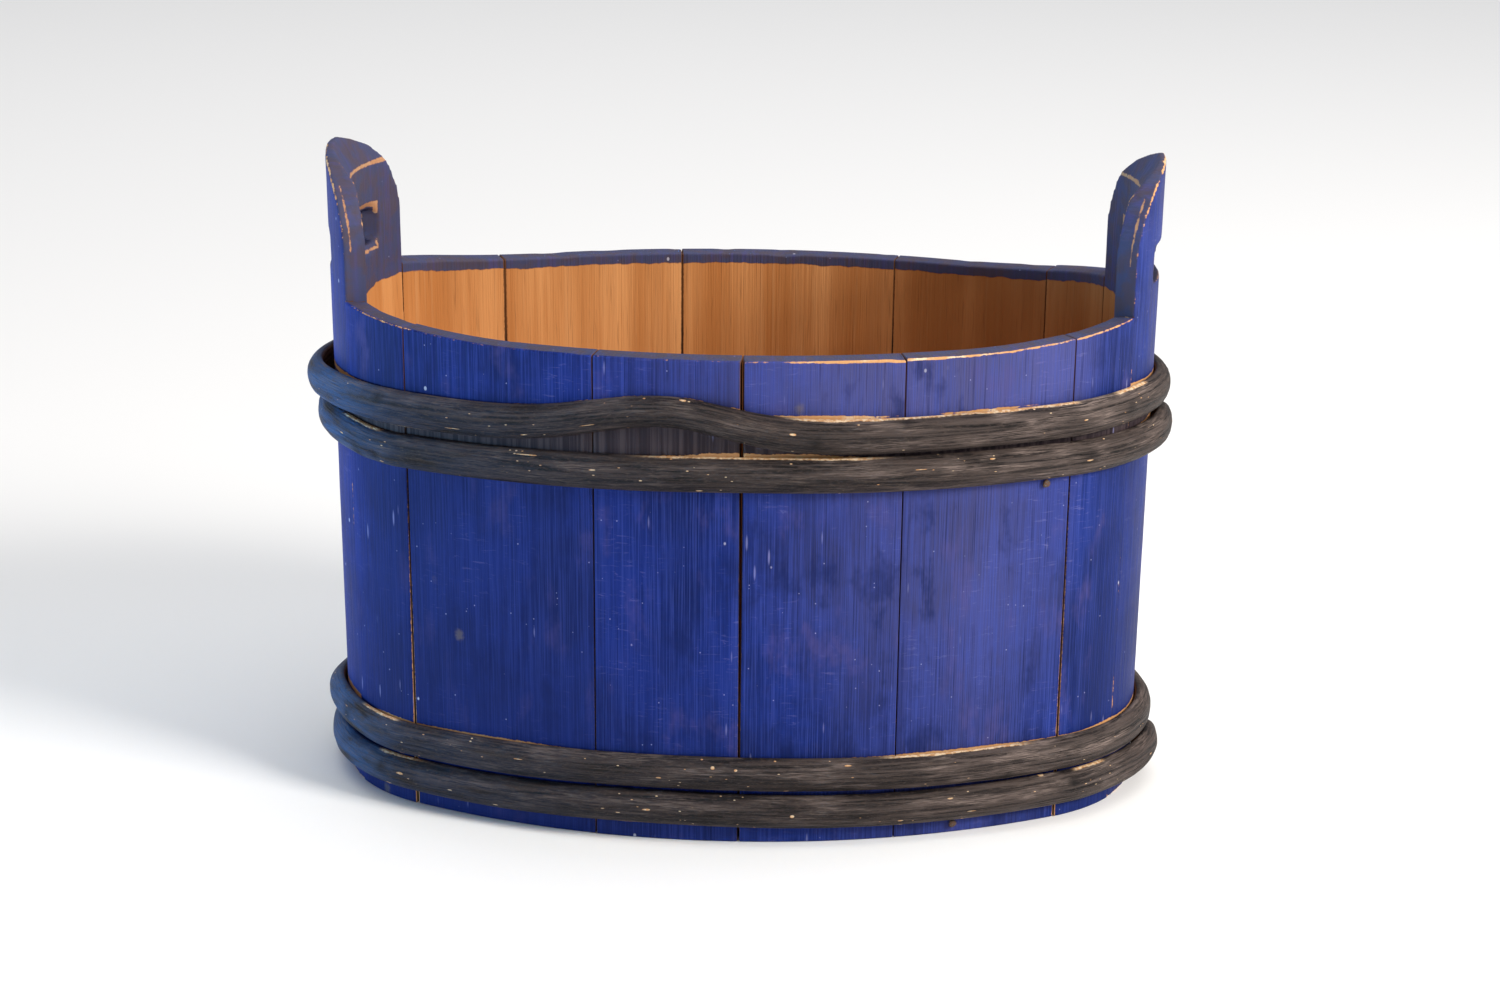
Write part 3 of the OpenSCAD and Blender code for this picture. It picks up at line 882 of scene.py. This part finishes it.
# Linear colours
DEEP_BLUE = (0.003, 0.010, 0.075)
BLUE = (0.008, 0.024, 0.175)
LIGHT_BLUE = (0.038, 0.062, 0.290)
FADED_BLUE = (0.165, 0.155, 0.340)
VIOLET = (0.070, 0.060, 0.200)
GREY_BLUE = (0.056, 0.060, 0.105)
DIRTY_PAINT = (0.075, 0.057, 0.062)
DUST = (0.34, 0.36, 0.55)
SCRATCHED = (0.26, 0.27, 0.50)
SPECK = (0.52, 0.52, 0.62)
STAIN = (0.14, 0.11, 0.09)
# Painted shade in the ears' slots
SLOT_SHADE = (0.012, 0.011, 0.030)
TAR_DARK = (0.024, 0.017, 0.022)
TAR_LIGHT = (0.060, 0.044, 0.048)
FRESH_WOOD = (0.58, 0.30, 0.13)
CREAM = (0.76, 0.58, 0.38)
WARM_WOOD = (0.66, 0.31, 0.115)
DEEP_WOOD = (0.46, 0.180, 0.052)
DARK_WOOD = (0.11, 0.045, 0.016)
# Near black for the joints: painted shade in their gaps and dirt in the seams beside them
GAP_SHADE_AND_DIRT = (0.020, 0.011, 0.009)
HOOP_BLACK = (0.006, 0.005, 0.0055)
HOOP_BROWN = (0.036, 0.025, 0.022)
HOOP_WORN = (0.20, 0.155, 0.138)
# Pale hoop paint, partly wear and partly painted light
HOOP_PALE_AND_LIT = (0.110, 0.086, 0.078)
# Painted blue reflection on the hoops
HOOP_BLUE_REFLECTION = (0.030, 0.085, 0.210)
BARK = (0.072, 0.050, 0.042)
PIT = (0.010, 0.008, 0.008)
IRON = (0.018, 0.015, 0.016)
RUST = (0.12, 0.055, 0.028)
SHINE = (0.20, 0.18, 0.17)
FLOOR = (0.88, 0.88, 0.88)

BOARD_JOINT = 48 * MM    # distance of the bottom boards' joints from the middle


def wood_colour(shader, grain):
    """Bare softwood: long dark and light streaks along the stave, and pores."""
    wide = shader.noise(grain, (26, 26, 1.3), detail=3, roughness=0.6, distortion=0.4)
    lines = shader.noise(grain, (210, 60, 4.5), detail=4, roughness=0.65)
    pores = shader.noise(grain, (900, 300, 24), detail=2)
    tone = shader.mix(shader.step(wide, 0.30, 0.72), DEEP_WOOD, WARM_WOOD)
    tone = shader.lay(
        tone,
        (FRESH_WOOD, shader.step(lines, 0.50, 0.78), 0.45),
        (DEEP_WOOD, shader.step(lines, 0.46, 0.28), 0.5),
        (DARK_WOOD, shader.step(pores, 0.42, 0.25), 0.35))
    return tone, lines, pores


def stave_material():
    shader = Shader("stave_paint", Specular_IOR_Level=0.10)
    grain = shader.vector("grain")
    through = shader.fact("through")
    faded_and_lit = shader.fact("faded_and_lit")
    place = shader.position()
    height = shader.node("ShaderNodeSeparateXYZ", Vector=place).outputs["Z"]

    # Fine brush and grain lines up the stave, clouds of wear, and what makes edges uneven
    hair = shader.noise(grain, (950, 200, 11), detail=3, roughness=0.6)
    streak = shader.noise(grain, (260, 80, 3.2), detail=3, roughness=0.6)
    cloud = shader.noise(grain, (14, 5, 9), detail=5, roughness=0.66)
    patch = shader.noise(grain, (34, 10, 17), detail=4, roughness=0.6)
    scuff = shader.noise(grain, (70, 30, 430), detail=4, roughness=0.7, distortion=0.8)
    ragged = shader.noise(place, (420, 420, 420), detail=2)
    coarse = shader.noise(place, (75, 75, 75), detail=3)

    wood, lines, _ = wood_colour(shader, grain)
    # Painted shade: the inside's bare wood darkened by direction
    wood = shader.mix(shader.fact("painted_inside_shade"), wood, DARK_WOOD)
    # Bare wood where the paint is worn, creamier where the tone is faded, which is partly painted light
    raw = shader.lay(
        FRESH_WOOD,
        (CREAM, shader.step(coarse, 0.45, 0.68), faded_and_lit),
        (DEEP_WOOD, shader.step(ragged, 0.62, 0.72), 0.5))

    paint = shader.mix(shader.step(cloud, 0.34, 0.66), DEEP_BLUE, BLUE)
    # Faded paint by direction, which is partly painted light
    paint = shader.lay(
        paint,
        (FADED_BLUE, faded_and_lit, 0.34),
        (LIGHT_BLUE, shader.step(hair, 0.46, 0.64), 0.46),
        (LIGHT_BLUE, shader.step(streak, 0.50, 0.72), 0.28),
        (VIOLET, shader.step(patch, 0.54, 0.72), 0.50),
        (DEEP_BLUE, shader.step(hair, 0.46, 0.30), 0.55))
    scuffed = shader.times(shader.step(scuff, 0.57, 0.68), shader.step(cloud, 0.46, 0.62))
    paint = shader.lay(paint, (FADED_BLUE, scuffed, 0.32))
    smudge = shader.times(shader.step(patch, 0.47, 0.34), shader.step(cloud, 0.58, 0.42))
    # Smudges, and deep paint by direction, which is partly painted shade
    paint = shader.lay(
        paint,
        (DEEP_BLUE, smudge, 0.6),
        (DEEP_BLUE, shader.fact("deep"), 0.62))

    # The rim, the band inside it and the ears' inner faces are handled: greyer and dirtier
    grimy = shader.mix(shader.step(coarse, 0.40, 0.62), GREY_BLUE, DIRTY_PAINT)
    grimy = shader.lay(grimy, (VIOLET, shader.step(streak, 0.5, 0.7), 0.4))
    paint = shader.lay(paint, (grimy, shader.step(through, 0.0008, 0.0022), 0.8))

    # Hoop paint that has run on to the staves between the two top rods
    tarred = shader.times(shader.step(height, 0.268, 0.274), shader.step(height, 0.3105, 0.3085))
    tarred = shader.times(tarred, shader.step(through, 0.003, 0.001))
    tar = shader.mix(shader.step(streak, 0.40, 0.62), TAR_DARK, TAR_LIGHT)
    paint = shader.mix(tarred, paint, tar)

    # Pale dust, longer scratches, white specks and brown stains
    dust = shader.spots(grain, (170, 170, 150), (0.10, 0.05), 0, (0.80, 0.82))
    scratch = shader.spots(grain, (150, 150, 21), (0.16, 0.08), 1, (0.90, 0.93))
    speck = shader.spots(grain, (62, 62, 44), (0.085, 0.045), 0, (0.80, 0.83))
    stain = shader.spots(grain, (30, 30, 24), (0.20, 0.10), 2, (0.86, 0.90), shader.times(ragged, 0.1))
    paint = shader.lay(
        paint,
        (DUST, dust, 0.55),
        (SCRATCHED, scratch, 0.45),
        (SPECK, speck, 0.75),
        (STAIN, stain, 0.5))

    # Where the paint covers: the outside, and the inside down to a wavering line
    wander = shader.centred(shader.noise(grain, (60, 60, 60)), 0.006)
    band = shader.plus(shader.fact("band"), wander)
    covered = shader.most(shader.step(through, 0.0030, 0.0012), shader.step(band, 0.0005, -0.0005))

    # Where it has worn off: along the rim, the joints, the ears' edges and where the hoops have slipped
    nibble = shader.centred(ragged, 0.0022)
    both = shader.plus(nibble, shader.centred(coarse, 0.0034))

    def near(distance, waver, low, high):
        return shader.step(shader.plus(distance, waver), low, high)

    ridge = shader.times(both, 0.6)
    over, under = [near(shader.fact(side), ridge, 0.0002, -0.0003) for side in ("over", "under")]
    beside = shader.math("MINIMUM", shader.fact("left"), shader.fact("right"))
    joint = near(beside, shader.times(nibble, 0.5), 0.0002, -0.0002)
    rim_line = near(shader.fact("rim_line"), shader.times(both, 0.45), 0.0002, -0.0002)
    lip = shader.times(near(shader.fact("between"), both, 0.0003, -0.0003), tarred)
    crest = shader.times(near(shader.fact("crest"), shader.times(both, 0.8), 0.0004, -0.0004), 0.75)
    rub = shader.plus(shader.fact("worn_edge"), shader.centred(coarse, 1.3))
    corner = near(rub, shader.centred(ragged, 1.0), 1.12, 1.32)
    worn = shader.times(shader.most(rim_line, joint, over, under, lip, corner, crest), covered)
    kept = shader.math("SUBTRACT", covered, worn)

    colour = shader.mix(kept, shader.mix(worn, wood, raw), paint)
    # Dark joints: dirt in the seams beside the inside joints, and painted shade down the joints' gaps, near
    # black below the top rods and dark wood above them
    seam = near(shader.fact("seam"), shader.times(nibble, 0.4), 0.0003, -0.0002)
    dark = shader.most(shader.step(shader.fact("painted_gap_shade"), 0.1, 0.6), seam)
    gap_shade_and_dirt = shader.mix(shader.step(height, 0.29, 0.312), GAP_SHADE_AND_DIRT, DARK_WOOD)
    colour = shader.lay(
        colour,
        (gap_shade_and_dirt, dark, 0.9),
        # Painted shade deep in the ears' slots
        (SLOT_SHADE, shader.fact("painted_slot_shade"), 0.85))
    roughness = shader.blend(covered, 0.78, shader.blend(shader.step(hair, 0.3, 0.7), 0.50, 0.66))
    normal = shader.bump(hair, 0.0004)
    normal = shader.bump(lines, 0.0006, normal)
    normal = shader.bump(kept, 0.0002, normal)
    return shader.finish(colour, roughness, normal)


def hoop_material():
    shader = Shader("hoop_paint", Specular_IOR_Level=0.13)
    grain = shader.vector("grain")
    worn_and_lit_side = shader.fact("worn_and_lit_side")
    fibre = shader.noise(grain, (60, 760, 60), detail=5, roughness=0.68)
    streak = shader.noise(grain, (14, 240, 60), detail=4, roughness=0.62, distortion=0.4)
    bark = shader.noise(grain, (190, 420, 60), detail=5, roughness=0.7)
    worn = shader.noise(grain, (20, 60, 30), detail=4, roughness=0.6)
    ragged = shader.noise(shader.position(), (380, 380, 380), detail=3)

    colour = shader.mix(shader.step(streak, 0.40, 0.64), HOOP_BLACK, HOOP_BROWN)
    colour = shader.lay(colour, (HOOP_BROWN, shader.step(fibre, 0.48, 0.72), 0.55))
    # Painted reflection: a blue cast on the hoops' left end
    painted_reflection = shader.times(shader.fact("painted_reflection_side"), shader.step(worn, 0.30, 0.56))
    colour = shader.lay(colour, (HOOP_BLUE_REFLECTION, painted_reflection, 0.95))
    # Paler paint on the hoops' right side and top half: partly wear, partly painted light
    pale_and_lit = shader.times(worn_and_lit_side, shader.step(streak, 0.34, 0.62))
    colour = shader.lay(
        colour,
        (HOOP_PALE_AND_LIT, pale_and_lit, 0.6),
        (BARK, shader.step(bark, 0.50, 0.66), 0.7))
    rubbed = shader.times(shader.step(worn, 0.44, 0.66), shader.step(fibre, 0.42, 0.60))
    # Rubbed paint, laid on more strongly on the right side and top half, partly as painted light
    colour = shader.lay(
        colour,
        (HOOP_WORN, rubbed, shader.plus(shader.times(worn_and_lit_side, 0.85), 0.26)),
        (PIT, shader.fact("pit"), 0.8))

    # Chips through to the wood: small bright ones along the rods, thin lines where they rub, and larger ones
    small = shader.spots(grain, (55, 120, 60), (0.15, 0.10), 0, (0.88, 0.90), shader.centred(ragged, 0.22))
    dots = shader.spots(grain, (210, 330, 60), (0.22, 0.14), 1, (0.955, 0.965))
    edge = shader.plus(shader.math("ABSOLUTE", shader.fact("across")), shader.centred(worn, 0.2))
    edge = shader.plus(edge, shader.centred(ragged, 0.06))
    rim = shader.times(shader.step(edge, 0.93, 0.97), shader.step(shader.fact("rubbed"), 0.25, 0.6))
    bare = shader.most(small, dots, rim)
    nick = shader.centred(ragged, 1.5)
    for rod, direction, part, long_mm, tall_mm in CHIPS:
        along, height = chip_place(rod, direction, part)
        half_long, half_tall = long_mm / 2 * MM, tall_mm / 2 * MM
        away = shader.node("ShaderNodeVectorMath", {"operation": "DISTANCE"})
        shader.put(away.inputs[0], shader.scaled(grain, 1 / half_long, 1 / half_tall, 1))
        away.inputs[1].default_value = (along / half_long, height / half_tall, 0)
        bare = shader.most(bare, shader.step(shader.plus(away.outputs["Value"], nick), 1.1, 0.85))
    colour = shader.mix(bare, colour, shader.mix(shader.step(ragged, 0.4, 0.6), FRESH_WOOD, CREAM))
    colour = shader.mix(shader.step(shader.fact("on_back"), 0.2, 0.9), colour, DARK_WOOD)
    roughness = shader.blend(shader.step(worn, 0.35, 0.7), 0.44, 0.70)
    normal = shader.bump(bark, 0.0011)
    normal = shader.bump(fibre, 0.0007, normal)
    normal = shader.bump(streak, 0.0013, normal)
    normal = shader.bump(bare, 0.0003, normal, strength=0.7)
    return shader.finish(colour, roughness, normal)


def board_material():
    """The bottom boards and their dowels: bare wood with its grain along the tub."""
    shader = Shader("bare_wood", Specular_IOR_Level=0.3)
    place = shader.position()
    axes = shader.node("ShaderNodeSeparateXYZ", Vector=place).outputs
    grain = shader.node("ShaderNodeCombineXYZ", X=axes["Y"], Y=axes["Z"], Z=axes["X"]).outputs["Vector"]
    wood, lines, pores = wood_colour(shader, grain)
    stain = shader.noise(place, (9, 9, 9), detail=4)
    off_middle = shader.math("ABSOLUTE", axes["Y"])
    off_joint = shader.math("ABSOLUTE", shader.math("SUBTRACT", off_middle, BOARD_JOINT))
    outer_boards = shader.step(off_middle, BOARD_JOINT - 0.1 * MM, BOARD_JOINT + 0.1 * MM)
    wood = shader.lay(
        wood,
        (DARK_WOOD, shader.step(stain, 0.45, 0.7), 0.5),
        (DEEP_WOOD, outer_boards, 0.35),
        (DARK_WOOD, shader.step(off_joint, 0.0010, 0.0004), 0.85))
    normal = shader.bump(lines, 0.0006)
    normal = shader.bump(pores, 0.0003, normal)
    return shader.finish(wood, shader.blend(shader.step(stain, 0.4, 0.7), 0.66, 0.82), normal)


def nail_material():
    shader = Shader("nail_iron", Metallic=0.35, Specular_IOR_Level=0.5)
    spots = shader.noise(shader.position(), (900, 900, 900), detail=4, roughness=0.6)
    colour = shader.mix(shader.step(spots, 0.42, 0.60), IRON, RUST)
    shine = shader.times(shader.fact("rubbed"), shader.step(spots, 0.55, 0.35))
    colour = shader.lay(colour, (SHINE, shine, 0.6))
    roughness = shader.blend(shader.step(spots, 0.4, 0.6), 0.45, 0.75)
    return shader.finish(colour, roughness, shader.bump(spots, 0.0004))


# ---- Putting it together ----

STAVE_PAINT = stave_material()
HOOP_PAINT = hoop_material()
BARE_WOOD = board_material()
NAIL_IRON = nail_material()
EARS = {5: 176.5, 12: 358.5}   # the two ears and the direction each faces


def make_staves():
    for number, name in enumerate(STAVES):
        mesh = ear_mesh(number, EARS[number]) if number in EARS else stave_mesh(number)
        mesh.materials.append(STAVE_PAINT)
        link(name + "_wood", mesh, name)


def make_hoops():
    for which, name in enumerate(HOOPS):
        mesh = rod_mesh(which)
        mesh.materials.append(HOOP_PAINT)
        link(name + "_rod", mesh, name)


def make_nails():
    mesh = nail_meshes()
    mesh.materials.append(NAIL_IRON)
    link("hoop_nails_forged", mesh, "hoop_nails")


def dress_boards():
    """The bottom's own solids stay, with eased edges."""
    for name in ("bottom_board_front", "bottom_board_middle", "bottom_board_back", "bottom_dowels"):
        board = frame["nodes"][name]
        board.data.materials.clear()
        board.data.materials.append(BARE_WOOD)
        weld = board.modifiers.new("weld", "WELD")
        weld.merge_threshold = 0.01 * MM
        ease = board.modifiers.new("ease", "BEVEL")
        ease.width = 0.5 * MM
        ease.segments = 2
        ease.limit_method = "ANGLE"
        ease.angle_limit = math.radians(50)


def make_stage():
    mesh = bpy.data.meshes.new("floor")
    half = 14
    corners = [(-half, -half, 0), (half, -half, 0), (half, half, 0), (-half, half, 0)]
    mesh.from_pydata(corners, [], [(0, 1, 2, 3)])
    floor = bpy.data.objects.new("floor", mesh)
    bpy.context.collection.objects.link(floor)
    shader = Shader("floor", Roughness=0.9, Specular_IOR_Level=0.1)
    shader.surface.inputs["Base Color"].default_value = (*FLOOR, 1)
    mesh.materials.append(shader.material)


def soft_light(name, at, size, watts, colour, target=(0, 0, 0.2), spread=180):
    data = bpy.data.lights.new(name, "AREA")
    data.shape = "RECTANGLE"
    data.size, data.size_y = size
    data.energy = watts
    data.color = colour
    data.spread = math.radians(spread)
    lamp = bpy.data.objects.new(name, data)
    bpy.context.collection.objects.link(lamp)
    lamp.location = at
    lamp.rotation_euler = (Vector(target) - Vector(at)).to_track_quat("-Z", "Y").to_euler()


def make_lights():
    world = bpy.data.worlds.new("studio")
    world.use_nodes = True
    background = world.node_tree.nodes["Background"]
    background.inputs["Color"].default_value = (0.93, 0.95, 1.0, 1)
    background.inputs["Strength"].default_value = 0.38
    bpy.context.scene.world = world
    soft_light("key", (2.4, -1.35, 1.75), (0.9, 0.9), 120, (1.0, 0.95, 0.88))
    soft_light("left", (-2.3, -0.6, 0.30), (0.7, 0.5), 1.8, (0.25, 0.62, 1.0), target=(0, 0, 0.26),
               spread=26)
    soft_light("top", (0, 1.6, 5), (7, 7), 210, (1.0, 0.99, 0.97), target=(0, 1.6, 0))


make_staves()
make_hoops()
make_nails()
dress_boards()
make_stage()
make_lights()
